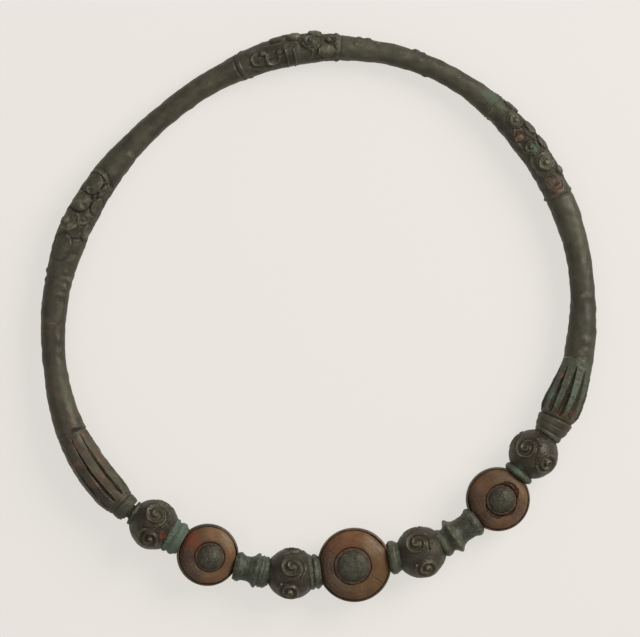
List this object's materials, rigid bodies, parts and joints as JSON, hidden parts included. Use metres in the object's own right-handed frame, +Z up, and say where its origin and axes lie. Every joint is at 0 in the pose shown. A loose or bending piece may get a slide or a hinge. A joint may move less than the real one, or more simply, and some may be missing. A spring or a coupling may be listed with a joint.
{
  "type": "torc",
  "caption": "Cast bronze neck ring, closed at the front by a removable row of spiral-carved beads and inlaid discs with domed studs.",
  "frame": {"origin": "middle of the ring's outline, on the ground that it lies on", "axes": "+Z up through the neck opening, +Y from the inlaid discs towards the back of the neck, +X towards the stepped joint"},
  "size_m": [0.1445, 0.1487, 0.0137],
  "materials": {
    "patinated_bronze": "dark green-brown patina, half polished on the high places",
    "aged_inlay": "glossy, mottled orange brown",
    "stud_bronze": "dark green-grey, rough with fine hatching"
  },
  "bodies": {
    "root": {"hoop": "patinated_bronze", "front_segment": "patinated_bronze", "left_inlay": "aged_inlay", "left_stud": "stud_bronze", "centre_inlay": "aged_inlay", "centre_stud": "stud_bronze", "right_inlay": "aged_inlay", "right_stud": "stud_bronze"}
  },
  "joints": []
}
